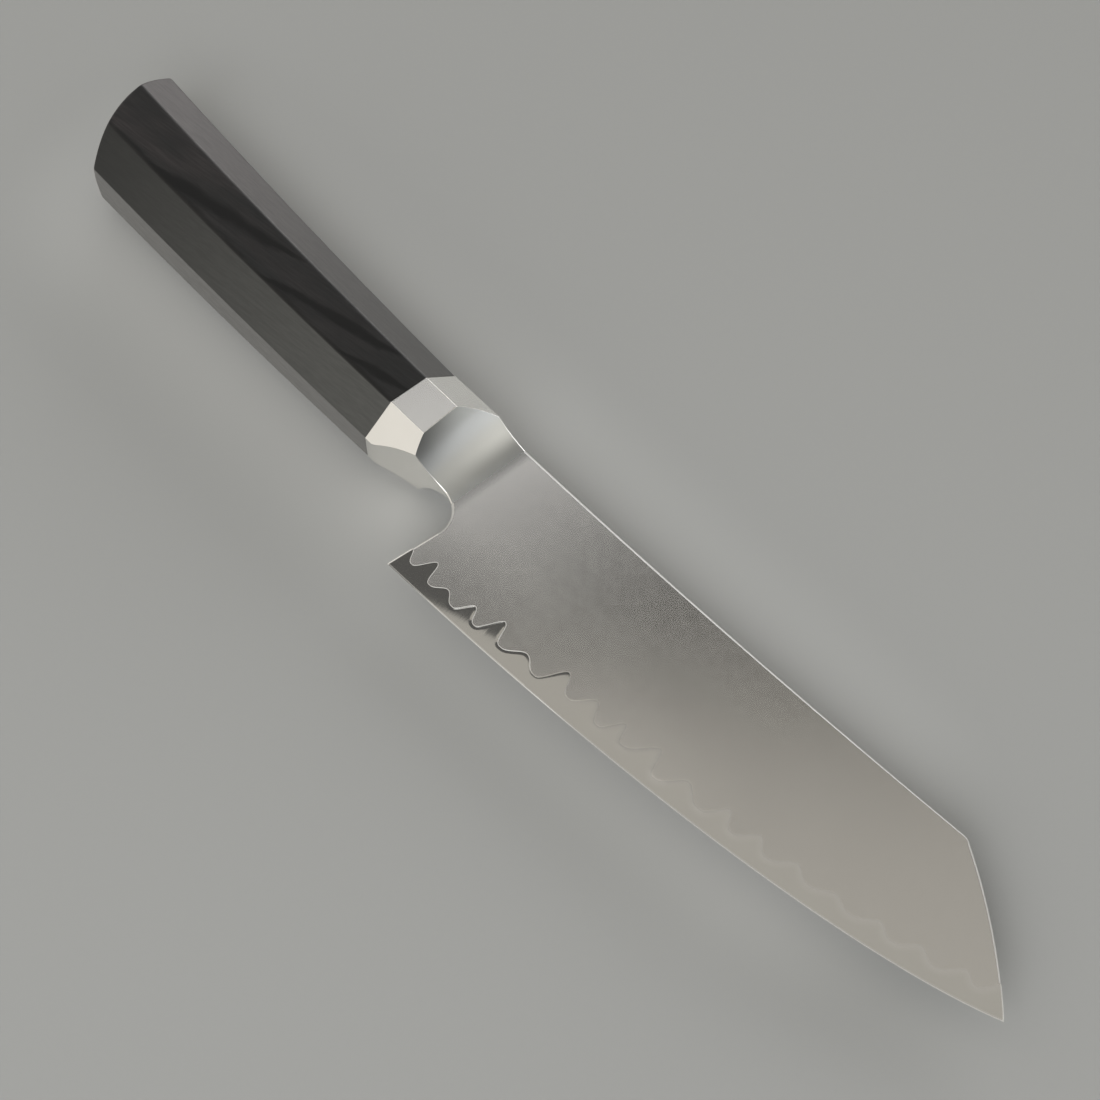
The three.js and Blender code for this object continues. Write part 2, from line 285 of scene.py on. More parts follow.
def polished_band():
    """A closed profile carried along the edge: up one side from the edge over its bevel to the wavy line, a
    little way down under the cladding, and back on the other side. Near the wavy line the surface sinks by
    the square of the nearness. Also returns marks: how far each point is frosted, as it is along the choil
    and the front, how far it is dulled by the blasting, and where a painted highlight makes the frost
    paler, along the choil."""
    along = np.linspace(0, edge_length, band_columns)
    front_foot = front_line[:len(front_line) // 3]
    choil_run = from_edge(choil_line)
    front_run = from_edge(front_foot)[::-1]
    top = np.interp(along, wave_along, wave_height)
    top = np.where(along < first_turn[0], np.interp(along, *choil_run.T), top)
    top = np.where(along > last_turn[0], np.interp(along, *front_run.T), top)
    bevel = np.minimum(np.interp(along, *bevel_width), top / 2)
    share = 1 - (1 - np.linspace(0, 1, band_rows))**row_power
    tucked = (along > first_turn[0]) & (along < last_turn[0])
    rows = bevel[:, None] + (top - bevel)[:, None] * share
    rows = np.concatenate([rows, (top + band_tuck * tucked)[:, None]], axis=1)
    columns = np.repeat(along[:, None], rows.shape[1], axis=1)
    place = over_edge(columns, rows)
    nearness = 1 - least_distance(place.reshape(-1, 2), wave_line).reshape(rows.shape) / groove_width
    groove = groove_depth * np.interp(columns, *groove_fade)
    level = band_height(place, columns, rows) - groove * np.clip(nearness, 0, 1)**2
    level = np.maximum(level, half_edge)
    level[:, -1] -= tuck_drop * tucked
    edge_line = over_edge(along, np.zeros(band_columns))
    edge_row = np.concatenate([edge_line, np.full((band_columns, 1), half_edge)], axis=1)
    right = np.concatenate([edge_row[:, None], np.concatenate([place, level[..., None]], axis=2)], axis=1)
    left = (right * (1, 1, -1))[:, ::-1]
    rings = np.concatenate([right, left], axis=1)
    flat = rings[..., :2].reshape(-1, 2)
    end_lines = np.concatenate([choil_line, front_foot])
    rim = rim_share(least_distance(flat, end_lines)).reshape(rings.shape[:2])
    rim[:, [0, -1]] = np.maximum(rim[:, [0, -1]], np.interp(along, *bevel_frost)[:, None])
    wave_distance = least_distance(flat, wave_line).reshape(rings.shape[:2])
    dull = np.clip(1 - wave_distance / dull_width, 0, 1) * np.interp(along, *dull_start)[:, None]
    # painted highlight: the frosted rims along the choil are painted paler
    by_choil = along < first_turn[0] + 1
    pale = rim * by_choil[:, None]
    return rings, {"rim": rim, "dull": dull, "pale": pale}


class Wire:
    """One output of a node tree. Arithmetic on wires and numbers adds Math nodes to the tree."""

    def __init__(self, tree, socket=None):
        self.tree = tree
        self.socket = socket

    def node(self, kind, settings=None, sockets=None, output=0):
        """A node of this kind: first its settings, then the values or links of its sockets."""
        made = self.tree.nodes.new(kind)
        for name, value in (settings or {}).items():
            setattr(made, name, value)
        for name, value in (sockets or {}).items():
            if isinstance(value, Wire):
                self.tree.links.new(value.socket, made.inputs[name])
            else:
                made.inputs[name].default_value = value
        return Wire(self.tree, made.outputs[output])

    def maths(self, operation, *terms):
        """A Math node on wires and numbers."""
        return self.node("ShaderNodeMath", {"operation": operation}, dict(enumerate(terms)))

    def __add__(self, other):
        return self.maths("ADD", self, other)

    def __sub__(self, other):
        return self.maths("SUBTRACT", self, other)

    def __mul__(self, other):
        return self.maths("MULTIPLY", self, other)

    def __truediv__(self, other):
        return self.maths("DIVIDE", self, other)

    def __pow__(self, other):
        return self.maths("POWER", self, other)

    def __rsub__(self, other):
        return self.maths("SUBTRACT", other, self)

    __radd__ = __add__
    __rmul__ = __mul__

    def blend(self, first, second):
        """A colour between two colours, by this wire as the share of the second."""
        sockets = {"Factor": self, 6: first, 7: second}
        return self.node("ShaderNodeMix", {"data_type": "RGBA"}, sockets, output=2)

    def between(self, low, high):
        """Nought below low, one above high and smooth between them."""
        sockets = {"Value": self, "From Min": low, "From Max": high}
        return self.node("ShaderNodeMapRange", {"interpolation_type": "SMOOTHSTEP"}, sockets)


def new_finish(name, metallic):
    """A material with one Principled shader: returns the material, its shader and a wire to build on."""
    finish = bpy.data.materials.new(name)
    finish.use_nodes = True
    shader = finish.node_tree.nodes["Principled BSDF"]
    shader.inputs["Metallic"].default_value = metallic
    return finish, shader, Wire(finish.node_tree)


def own_place(wire):
    """The piece's own coordinates, in metres."""
    return wire.node("ShaderNodeTexCoord", output=3)


def own_axes(wire):
    """The piece's own coordinates one by one: along the knife, across it to the spine, and up."""
    place = own_place(wire)
    return [wire.node("ShaderNodeSeparateXYZ", None, {0: place}, output=axis) for axis in range(3)]


def mark(wire, name):
    """The share that one of the piece's named attributes gives each point."""
    return wire.node("ShaderNodeAttribute", {"attribute_name": name}, output=2)


def grain(wire, stretch, detail=4.0, roughness=0.5, turn=0.0):
    """Noise on the piece's own coordinates, with this many cells per metre along each axis."""
    place = own_place(wire)
    cell = tuple(1 / cells for cells in stretch)
    mapping = {"Vector": place, "Rotation": (0, 0, turn), "Scale": cell}
    moved = wire.node("ShaderNodeMapping", {"vector_type": "TEXTURE"}, mapping)
    sockets = {"Vector": moved, "Scale": 1.0, "Detail": detail, "Roughness": roughness}
    return wire.node("ShaderNodeTexNoise", None, sockets)


def join(shader, name, wire):
    """Links a wire to one of a shader's sockets."""
    wire.tree.links.new(wire.socket, shader.inputs[name])


def dented(wire, height, depth):
    """A Bump node for a height field, with its depth in metres."""
    return wire.node("ShaderNodeBump", None, {"Height": height, "Strength": 1.0, "Distance": depth})


def frost_rims(shader, wire, colour, roughness, metal):
    """Links a steel's colour, roughness and metallic share. By the piece's rim mark each of them goes over
    to frosted metal, and by its painted-highlight mark the frost's colour goes over to a paler one, a
    painted highlight."""
    rim = mark(wire, "rim")
    frost_with_painted_highlight = mark(wire, "pale").blend(frosted_colour, pale_colour)
    join(shader, "Base Color", rim.blend(colour, frost_with_painted_highlight))
    join(shader, "Roughness", roughness + rim * (frosted_roughness - roughness))
    join(shader, "Metallic", metal + rim * (frosted_metal - metal))


def make_polished_steel():
    """Bright steel, honed along the band: fine cross scratches, a faint cloudiness in its gloss, and a dull
    grey by its dull mark."""
    finish, shader, wire = new_finish("polished_steel", 1.0)
    scratches = grain(wire, (2600, 160, 160), detail=3)
    clouds = grain(wire, (90, 90, 90))
    dull = mark(wire, "dull")
    colour = dull.blend(clouds.blend(clouded_colour, polished_colour), dulled_colour)
    roughness = 0.02 + 0.015 * clouds + 0.015 * scratches + dulled_roughness * dull
    frost_rims(shader, wire, colour, roughness, polished_metal)
    join(shader, "Normal", dented(wire, scratches, scratch_depth))
    return finish


mitre_limit = 0.2  # keeps the moved corners of an outline within reach where it turns sharply


def outline_body(name, outline, insets, heights, **marks):
    """A plate: its outline repeated at each height, each side moved inwards by its inset. Where two sides
    meet, the corner moves so that it keeps both insets."""
    sides = np.roll(outline, -1, axis=0) - outline
    sides = sides / np.linalg.norm(sides, axis=1, keepdims=True)
    after = sides[:, ::-1] * (-1, 1)
    before = np.roll(after, 1, axis=0)
    cosine = (before * after).sum(axis=1, keepdims=True)
    mitre = (before + after) / np.maximum(1 + cosine, mitre_limit)
    slide = (after - before) / np.maximum(1 - cosine, mitre_limit)
    slide = np.where(cosine < 1 - mitre_limit, slide, 0)
    own = insets[..., None]
    last = np.roll(insets, 1, axis=1)[..., None]
    flat = outline + (own + last) / 2 * mitre + (own - last) / 2 * slide
    return loft(name, np.concatenate([flat, heights(flat)[..., None]], axis=2), **marks)


# The hidden plate of the core fills the blade's outline a little way inside, and ends below within the band
plate_inset = 0.02
plate_foot = 1.6  # height over the edge at which the plate ends
plate_root = 21.0
plate_along = np.linspace(first_turn[0] + 1, last_turn[0] - 1, 120)
plate_spine = np.linspace(corner[0], plate_root, 40)[1:]
plate_outline = np.concatenate([
    choil_arc,
    line(choil_foot, wave_start, 12)[1:],
    over_edge(plate_along, np.full_like(plate_along, plate_foot)),
    front_line[end_point:],
    np.stack([plate_spine, spine_height(plate_spine)], axis=1),
])
plate_insets = np.full((2, len(plate_outline)), plate_inset)
core_plate = outline_body(
    "core_plate", plate_outline, plate_insets,
    lambda flat: np.repeat([[-half_plate], [half_plate]], len(plate_outline), axis=1),
)
band_rings, band_marks = polished_band()
core_band = loft("blade_core_band", band_rings, **band_marks)
polished_steel = make_polished_steel()
for piece in (core_plate, core_band):
    piece.data.materials.append(polished_steel)
    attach(piece, "root")
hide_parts("blade_core")

# Cladding: the softer steel rolled onto each side of the core, ground thin and blasted to an even matte
# grey, with painted shade and a painted sheen on it. It ends below in a wavy line, with a small bright
# slope down to the core, painted paler where it faces away from the lamp. Its outer rims are eased.
wave_slope = ([30, 50], [0.19, 0.4])  # lengths from the heel, and the slope's width there
slope_facing = (0.4, -0.92)  # the slopes that face this way are narrower
slope_narrowing = 0.35  # by up to this share
slope_rows = (0, 0, 0.4, 0.75, 0.95, 1)  # shares of the slope's width, foot to top
slope_climb = (0, 0, 0.55, 0.88, 0.99, 1)  # shares of its height there
rim_bend = np.radians([0, 0, 25, 50, 70, 90])  # the other rims bend by these angles, foot to top
spine_ease = (0.75, 0.34)  # at the neck and at the corner
choil_ease = 0.6
front_ease = 0.5
least_wall = 0.05
wave_frost = ([31, 42], [0.95, 0])  # lengths from the heel, and how far the slope is frosted there
rim_frost = 0.9
matte_tint = (1.0, 0.986, 0.952, 1)
pit_depth = 0.06e-6
# painted shade darkens the heel, and a painted sheen makes the middle of the edge paler
heel_reach = (30, 66)  # a shade at the heel fades out over these lengths from the joint
heel_rise = (-23, -7)  # and over these heights
sheen_start = (64, 80)  # a sheen along the edge comes in over these lengths from the joint
sheen_end = (92, 120)  # and goes out over these
sheen_rise = (-22, 2)
# painted shade: the blade is painted darker for a few mm at its root, where it meets the bolster
root_place = 22.9  # the blade's root, where it is blended into the bolster and darker for a few mm
root_reach = 2.8
root_shade_colour = (0.112, 0.118, 0.111, 1)


def cladding(name, mirrored):
    """A plate bounded by the wavy line, the front, the spine and the choil. Its rim is a rounded wall, and
    on the wavy line a slope with a soft shoulder. The left one is the right one mirrored in the blade's
    middle plane."""
    spine_x = np.linspace(corner[0], spine_start, 60)
    spine_line = np.stack([spine_x, spine_height(spine_x)], axis=1)
    before_corner = front_line[-1 - front_trim] - corner
    before_corner = corner + before_corner * corner_ease / np.linalg.norm(before_corner)
    after_corner = spine_line[1] - corner
    after_corner = corner + after_corner * corner_ease / np.linalg.norm(after_corner)
    turn = np.linspace(0, 1, 9)[:, None]
    rounded = (1 - turn)**2 * before_corner + 2 * turn * (1 - turn) * corner + turn**2 * after_corner
    parts = {
        "wave": wave_line,
        "front": front_line[end_point + 1:-front_trim],
        "corner": rounded,
        "spine": spine_line[1:],
        "choil arc": choil_arc,
        "choil": line(choil_foot, wave_start, 14)[1:],
    }
    outline = np.concatenate(list(parts.values()))
    kind = np.repeat(list(parts), [len(part) for part in parts.values()])
    kind[len(wave_line) - 1] = "front"
    ease = np.interp(outline[:, 0], [spine_start, corner[0]], spine_ease)
    ease[(kind == "choil arc") | (kind == "choil")] = choil_ease
    ease[kind == "front"] = front_ease
    run = np.gradient(wave_line, axis=0)
    run = run / np.linalg.norm(run, axis=1, keepdims=True)
    facing = (run[:, ::-1] * (1, -1)) @ slope_facing
    on_wave = np.arange(len(outline)) < len(wave_line)
    slope_width = np.zeros(len(outline))
    narrowed = 1 - slope_narrowing * np.clip(facing, 0, 1)
    slope_width[on_wave] = np.interp(wave_along, *wave_slope) * narrowed
    wave_in = np.outer(slope_rows, slope_width)
    rim_in = np.where(kind == "wave", wave_in, np.outer(1 - np.cos(rim_bend), ease))
    climb = np.array(slope_climb)[:, None]
    wave_foot = np.zeros(len(outline))
    groove = groove_depth * np.interp(wave_along, *groove_fade)
    wave_foot[on_wave] = band_height(wave_line, wave_along, wave_height) - groove
    rim = np.zeros_like(rim_in)
    front_rim = rim_share(least_distance(wave_line, front_line))
    rim[:-1, on_wave] = np.maximum(np.interp(wave_along, *wave_frost), front_rim)
    rim[:-1, kind != "wave"] = rim_frost
    # painted highlight: the slopes that face away from the lamp, and the choil's rim, are painted paler
    pale = np.zeros_like(rim)
    pale[:-1, on_wave] = np.clip(-facing, 0, 1)
    pale[:-1, kind == "choil"] = 1

    def heights(flat):
        """The rim falls from the blade's side by its ease times one less the sine of the bend. The slope
        climbs from the band to the side. The foot is level."""
        side = side_height(flat[..., 0], flat[..., 1])
        eased = np.minimum(ease, side - half_plate - least_wall)
        level = side - eased * (1 - np.sin(rim_bend))[:, None]
        level = np.where(on_wave, wave_foot + climb * (side - wave_foot), level)
        level[0] = half_plate
        return level

    if not mirrored:
        return outline_body(name, outline, rim_in, heights, rim=rim, pale=pale)
    return outline_body(
        name, outline, rim_in[::-1], lambda flat: -heights(flat[::-1])[::-1],
        rim=rim[::-1], pale=pale[::-1],
    )


def make_matte_steel():
    """Blasted steel: tiny pits, a cloudy change of grey over some centimetres and a finer speckle. Painted
    shade darkens it over the heel and where it meets the bolster, and a painted sheen makes it paler over
    the middle of the edge."""
    finish, shader, wire = new_finish("matte_steel", 1.0)
    along, across, _ = own_axes(wire)
    clouds = grain(wire, (34, 34, 34), detail=3)
    speckle = grain(wire, (2600, 2600, 2600), detail=2)
    mottle = grain(wire, (420, 420, 420), detail=3)
    tone = (0.5 * clouds + 0.3 * mottle + 0.2 * speckle).between(0.3, 0.7)
    from_joint = along / mm - joint_place[0]
    height = across / mm
    heel_shade = (1 - from_joint.between(*heel_reach)) * (1 - height.between(*heel_rise))
    painted_sheen = from_joint.between(*sheen_start) * (1 - from_joint.between(*sheen_end))
    painted_edge_sheen = painted_sheen * (1 - height.between(*sheen_rise))
    # painted shade over the heel and a painted sheen along the edge
    brightness = (0.58 + 0.04 * tone) * (1 + 0.14 * painted_edge_sheen - 0.28 * heel_shade)
    colour = brightness.blend((0, 0, 0, 1), matte_tint)
    # painted shade at the blade's root, next to the bolster
    from_root = along - across * float(np.tan(joint_lean)) - (joint_place[0] + root_place) * mm
    root_shade_depth = 0.4 + 0.16 * across.between(-0.008, 0.010)
    root = (1 - from_root.between(-0.2 * mm, root_reach * mm)) * root_shade_depth
    colour = root.blend(colour, root_shade_colour)
    roughness = 0.155 + 0.03 * clouds + 0.03 * mottle
    frost_rims(shader, wire, colour, roughness, 1.0)
    join(shader, "Normal", dented(wire, speckle + 0.6 * mottle, pit_depth))
    return finish


matte_steel = make_matte_steel()
for piece, node in (
    (cladding("cladding_right", False), "blade_cladding_right"),
    (cladding("cladding_left", True), "blade_cladding_left"),
):
    piece.data.materials.append(matte_steel)
    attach(piece, "root")
    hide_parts(node)

# Tang: a flat bar of plain steel, welded behind the blade's root and hidden in the handle. It keeps the
# grey scale of the forge and the lines of a coarse belt.
dark_scale = (0.4, 0.4, 0.39, 1)
bare_scale = (0.58, 0.575, 0.56, 1)
tang_steel, tang_shader, tang_wire = new_finish("tang_steel", 1.0)
belt_lines = grain(tang_wire, (40, 1500, 1500))
join(tang_shader, "Base Color", belt_lines.blend(dark_scale, bare_scale))
join(tang_shader, "Roughness", 0.4 + 0.2 * belt_lines)
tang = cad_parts["tang"]
tang.data.materials.clear()
tang.data.materials.append(tang_steel)

# Bolster: one steel collar welded to the blade's root, ground to the handle's eight facets. A scoop on each
# side runs out into the blade, and a shallow ramp is scooped out underneath, down to the choil.
collar_top = 12.2
shoulder = (15.0, 12.4)  # the top of the collar rises to here, then comes down to the spine along the scoop
scoop_trim = (0.1, 0.3)  # the scoop's long edges are chamfered this much at the crease and at the root
collar_side = 4.75
collar_flat = 4.1
collar_half = 11.5
crease_set = 10.05
crease_lean = np.radians(0.4)
crease_round = 0.08  # the crease is rounded off over this length
crease_drop = 0.05  # and falls by this much
joint_rows = (0, 0.08, 0.2)  # rings next to the joint, of which the first is shrunk a little
joint_shrink = 0.995
scoop_radius = 13.05
scoop_depth = 10.5
scoop_end = crease_set + np.sqrt(2 * scoop_radius * scoop_depth - scoop_depth**2)
scoop_last = 0.012  # the scoop's arc stops at this angle to the blade
root_sink = 0.6  # and its last ring goes this far into the blade
scoop_count = 60
collar_count = 11
least_half = 0.02  # the flare's top and foot keep at least this half width
ramp_radius = 36.0
facet_ease = 0.06
flare_ease = 0.55
ease_share = 0.3  # a corner is rounded over this much of its shorter side at most
facet_start = 1.5  # the points of a facet begin this many eases from its corners
least_side = 1e-6
arc_points = 6
facet_points = 7
facet_tint = (1.0, 0.986, 0.952, 1)
scoop_tint = (0.975, 1.0, 0.99, 1)
belt_depth = 1.2e-6
# painted light and shade on the scoops: paler to the spine, painted shade along the crease's lower part and
# towards the root
scoop_start = 62.0  # from the middle of the handle, where the shade along the crease begins
root_shading = (16.5, 21.1)  # over these lengths from the joint the scoop darkens to the root
facet_slope = (collar_half - collar_flat) / (collar_top - collar_side)


def eased_rings(corners, ease):
    """Each ring's corners are rounded: a quadratic Bezier arc starts and ends at the ease from each corner.
    From arc to arc run evenly spaced points, which keep the facets flat."""
    before = np.roll(corners, 1, axis=1) - corners
    after = np.roll(corners, -1, axis=1) - corners
    near = np.linalg.norm(before, axis=2, keepdims=True)
    far = np.linalg.norm(after, axis=2, keepdims=True)
    reach = np.minimum(ease, ease_share * np.minimum(near, far))
    start = before / np.maximum(near, least_side)
    end = after / np.maximum(far, least_side)
    turn = np.linspace(0, 1, arc_points)[:, None, None, None]
    curve = corners + reach * ((1 - turn)**2 * start + turn**2 * end)
    leave = corners + facet_start * reach * end
    arrive = np.roll(corners + facet_start * reach * start, -1, axis=1)
    facet = np.linspace(0, 1, facet_points)[:, None, None, None]
    outer = np.stack([*curve, *(leave + facet * (arrive - leave))], axis=2)
    return outer.reshape(len(corners), -1, corners.shape[2])


def ramp_height(x):
    """The underside: a wide arc rising to the neck, then the choil's arc falling away from it."""
    run = x - neck[0]
    rise = np.sqrt(ramp_radius**2 - np.minimum(run, 0)**2) - ramp_radius
    fall = np.sqrt(choil_radius**2 - np.maximum(run, 0)**2) - choil_radius
    return neck[1] + rise + fall


def bolster_rings():
    """A ring of eight corners at each distance from the joint: the handle's octagon, cut level by the
    scoop's arc, which ends on the blade's side, and from below by the ramp. The rings lean with the joint
    and the blade's root, and stand almost square to the blade at the crease. Also returns marks for the
    points of the scoops, of the underside, of the upper facets and of the corners that catch the light, on
    which the finish paints light and a highlight."""
    start_angle = np.arcsin((scoop_end - crease_set) / scoop_radius)
    sweep = np.linspace(start_angle, scoop_last, scoop_count)
    scoop_at = scoop_end - scoop_radius * np.sin(sweep)
    scoop_h = scoop_radius * (1 - np.cos(sweep))
    collar_at = np.linspace(1, crease_set - 0.2, collar_count)
    plain_at = np.concatenate([joint_rows, collar_at, [crease_set - crease_round]])
    plain = len(plain_at)
    at = np.concatenate([plain_at, scoop_at, scoop_at[-1:]])[:, None]
    cut = np.concatenate([np.full(plain, scoop_depth), scoop_h, [-root_sink]])[:, None]
    edge_drop = np.interp(crease_set - at, [0, crease_round], [crease_drop, 0]) * (at <= crease_set)
    lean = np.tan(np.interp(at, [0, crease_set, scoop_end], [joint_lean, crease_lean, joint_lean]))

    def ring_x(y):
        """How far along the knife the leaning ring stands at this height."""
        return at / np.cos(joint_lean) + y * lean

    def cut_height(y):
        """The scoop's arc, set on one mm at the crease and on the blade's own side at its end."""
        settle = np.clip(cut / scoop_depth, 0, 1)
        return cut + settle + (1 - settle) * side_height(ring_x(y), y) - edge_drop

    top = np.interp(at, [0, shoulder[0], scoop_end], [collar_top, shoulder[1], spine_rise])
    trim = np.interp(at, [crease_set, scoop_end], scoop_trim)
    upper = np.full_like(at, collar_side)
    lower = np.full_like(at, -collar_side)
    # Where the cut meets the slanting facets and the ramp depends on itself, so it is found step by step
    for _ in range(4):
        upper = np.minimum(collar_side + (collar_half - cut_height(upper)) / facet_slope, top - trim)
        lower = -collar_side - (collar_half - cut_height(lower)) / facet_slope
    floor = np.full_like(at, -collar_top)
    for _ in range(6):
        floor = np.maximum(ramp_height(ring_x(floor)), -collar_top)
    lower = np.maximum(lower, floor + trim)
    foot_z = collar_half - facet_slope * (-collar_side - floor)
    foot_z = np.minimum(foot_z, np.maximum(cut_height(lower) - facet_slope * trim, least_half))
    top_z = collar_half - facet_slope * (top - collar_side)
    top_z = np.minimum(top_z, np.maximum(cut_height(upper) - facet_slope * trim, least_half))
    y = np.concatenate([top, upper, lower, floor], axis=1)
    z = np.concatenate([top_z, cut_height(upper), cut_height(lower), foot_z], axis=1)
    y = np.concatenate([y, y[:, ::-1]], axis=1)
    z = np.concatenate([z, -z[:, ::-1]], axis=1)
    ease = np.interp(at, [shoulder[0], scoop_end], [facet_ease, flare_ease])[..., None]
    section = eased_rings(np.stack([y, z], axis=2), ease)
    x = ring_x(section[..., 0])
    section[0] *= joint_shrink
    arcs = (arc_points + facet_points) * np.arange(8)[:, None] + np.arange(arc_points)
    middles = arcs[:, arc_points // 2]
    scooped = np.zeros(section.shape[:2])
    scooped[plain:, middles[1]:middles[2]] = 1
    scooped[plain:, middles[5]:middles[6]] = 1
    under = np.zeros_like(scooped)
    under[:, middles[3]:middles[4]] = 1
    upward = np.ones_like(scooped)
    upward[:, middles[1]:middles[6]] = 0
    # painted highlight on the corners that catch the light
    painted_glint = np.zeros_like(scooped)
    painted_glint[:plain, arcs[2:6].ravel()] = 1
    painted_glint[plain:, arcs[[1, 6]].ravel()] = 1
    marks = {"scoop": scooped, "under": under, "upper": upward, "painted_glint": painted_glint}
    return np.concatenate([x[..., None], section], axis=2), marks


def make_bolster_steel():
    """Satin steel, finished with a fine belt around the facets. Its brightness is painted by place: painted
    light on the underside and the upper facets, and a painted highlight on the corners that catch the
    light.
    The scoops are painted paler to the spine, most of all along the crease there, and carry painted shade
    along the crease's lower part and towards the blade's root."""
    finish, shader, wire = new_finish("bolster_steel", 1.0)
    along, across, _ = own_axes(wire)
    lines = grain(wire, (900, 90, 90), detail=4, turn=0.2)
    clouds = grain(wire, (110, 110, 110))
    scoop = mark(wire, "scoop")
    spine_side = across.between(-0.010, 0.014)
    crease_painted_light = 0.4 * spine_side + 0.37 * spine_side**2 - 0.33
    crease_end = (scoop_start + 5.5) * mm - 3.6 * mm * spine_side
    crease_shade = (1 - along.between(scoop_start * mm, crease_end)) * crease_painted_light
    from_joint = (along - across * float(np.tan(joint_lean))) / mm - joint_place[0]
    root_shade = from_joint.between(*root_shading) * (0.064 + 0.43 * spine_side)
    # painted light and shade on the scoops, painted light on the underside and upper facets, painted
    # highlight on corners
    scoop_painted_light = scoop * (0.36 * spine_side - 0.215 + crease_shade - root_shade)
    facet_painted_light = 0.28 * mark(wire, "under") + 0.25 * mark(wire, "upper") + 0.3 * mark(wire, "painted_glint")
    brightness = 0.73 + 0.08 * clouds + facet_painted_light + scoop_painted_light
    tint = scoop.blend(facet_tint, scoop_tint)
    join(shader, "Base Color", brightness.blend((0, 0, 0, 1), tint))
    join(shader, "Roughness", 0.19 + 0.04 * clouds + 0.04 * lines + 0.09 * scoop)
    join(shader, "Normal", dented(wire, lines, belt_depth))
    return finish


collar_rings, collar_marks = bolster_rings()
bolster = loft("bolster_collar", collar_rings, **collar_marks)
bolster.data.materials.append(make_bolster_steel())
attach(bolster, "root")
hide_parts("bolster")

# Resin bed: the amber epoxy that fills the slot around the tang. It is poured in when the handle is put on,
# sets hard and holds it.
dark_amber = (0.24, 0.19, 0.1, 1)
pale_amber = (0.34, 0.28, 0.17, 1)
resin, resin_shader, resin_wire = new_finish("resin", 0.0)
cloud = grain(resin_wire, (300, 300, 300))
join(resin_shader, "Base Color", cloud.blend(dark_amber, pale_amber))
join(resin_shader, "Roughness", 0.35 + 0.2 * cloud)
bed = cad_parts["tang_adhesive"]
bed.data.materials.clear()
bed.data.materials.append(resin)

# Handle: a block of black resin-bonded laminated wood, planed to eight facets that widen towards the domed
# butt, and glued on over the tang.
handle_length = 103.4
front_height = 24.4
rear_height = 28.6
front_side = 9.5
rear_side = 11.9
front_flat = 8.2
rear_flat = 11.3
butt_slope = np.tan(np.radians(15))
butt_radius = 23.3
handle_ease = 0.55
joint_rim = ([0.0002, 0.0005, 0.0016], [0.988, 0.996, 1.0])  # shares of the length and of the section
butt_rim = ([0.994, 0.9968, 0.9986, 0.9996], [1.0, 0.997, 0.991, 0.981])
body_share = np.linspace(0.004, 0.99, 60)
dome_shrink = np.linspace(0.965, 0, 26)
black_figure = (0.0015, 0.0015, 0.0015, 1)
side_wood = (0.0148, 0.0148, 0.0148, 1)
brown_wood = (0.034, 0.0295, 0.0295, 1)
# painted light: the facets other than the sides are lit and shaded copies of the wood
upper_wood_painted_lit = (0.103, 0.094, 0.094, 1)
upper_front_wood_painted_lit = (0.079, 0.078, 0.075, 1)
under_wood_painted_lit = (0.178, 0.176, 0.171, 1)
lower_wood_painted_shade = (0.0118, 0.0122, 0.0118, 1)
front_wood_painted_lit = (0.069, 0.07, 0.066, 1)
wood_ior = 1.38
grain_depth = 4e-6
side_reach = (0.0112, 0.01145)  # the side facets begin this far from the middle, in metres
flame_ragged = 3.5  # how far the edges of the flames wander
flame_edge = (0.35, 1.3)  # the flames fade out between these shares of their half width
seam_strength = 0.7
seam_ragged = 3
seam_edge = (0.2, 1.4)  # the seam fades out between these heights over the lower edge of the facet
flames = (  # start, end and half width of the dark figures in the side facets
    ((-92.0, -5.8), (-36.0, 5.4), 1.9),
    ((-49.0, -5.6), (-4.0, 5.2), 1.7),
    ((-21.0, -5.6), (3.0, 1.0), 1.2),
)


def handle_rings():
    """Straight lines from the leaning joint to the leaning, domed butt, lifted by the bow. The rings shrink
    a little at both ends for the eased rims, and to a point in the middle of the dome."""
    share = np.concatenate([joint_rim[0], body_share, butt_rim[0], np.ones_like(dome_shrink)])[:, None]
    shrink = np.concatenate([joint_rim[1], np.ones_like(body_share), butt_rim[1], dome_shrink])[:, None]
    top = (front_height + (rear_height - front_height) * share) / 2
    side = (front_side + (rear_side - front_side) * share) / 2
    flat = (front_flat + (rear_flat - front_flat) * share) / 2
    half = np.full_like(share, collar_half)
    y = np.concatenate([top, side, -side, -top, -top, -side, side, top], axis=1)
    z = np.concatenate([flat, half, half, flat, -flat, -half, -half, -flat], axis=1)
    section = eased_rings(np.stack([y, z], axis=2), handle_ease) * shrink[..., None]
    y = section[..., 0]
    z = section[..., 1]
    butt = -handle_length - y * butt_slope + (y**2 + z**2) / (2 * butt_radius)
    x = (1 - share) * y * np.tan(joint_lean) + share * butt
    return np.stack([x, y + bow(x), z], axis=2)


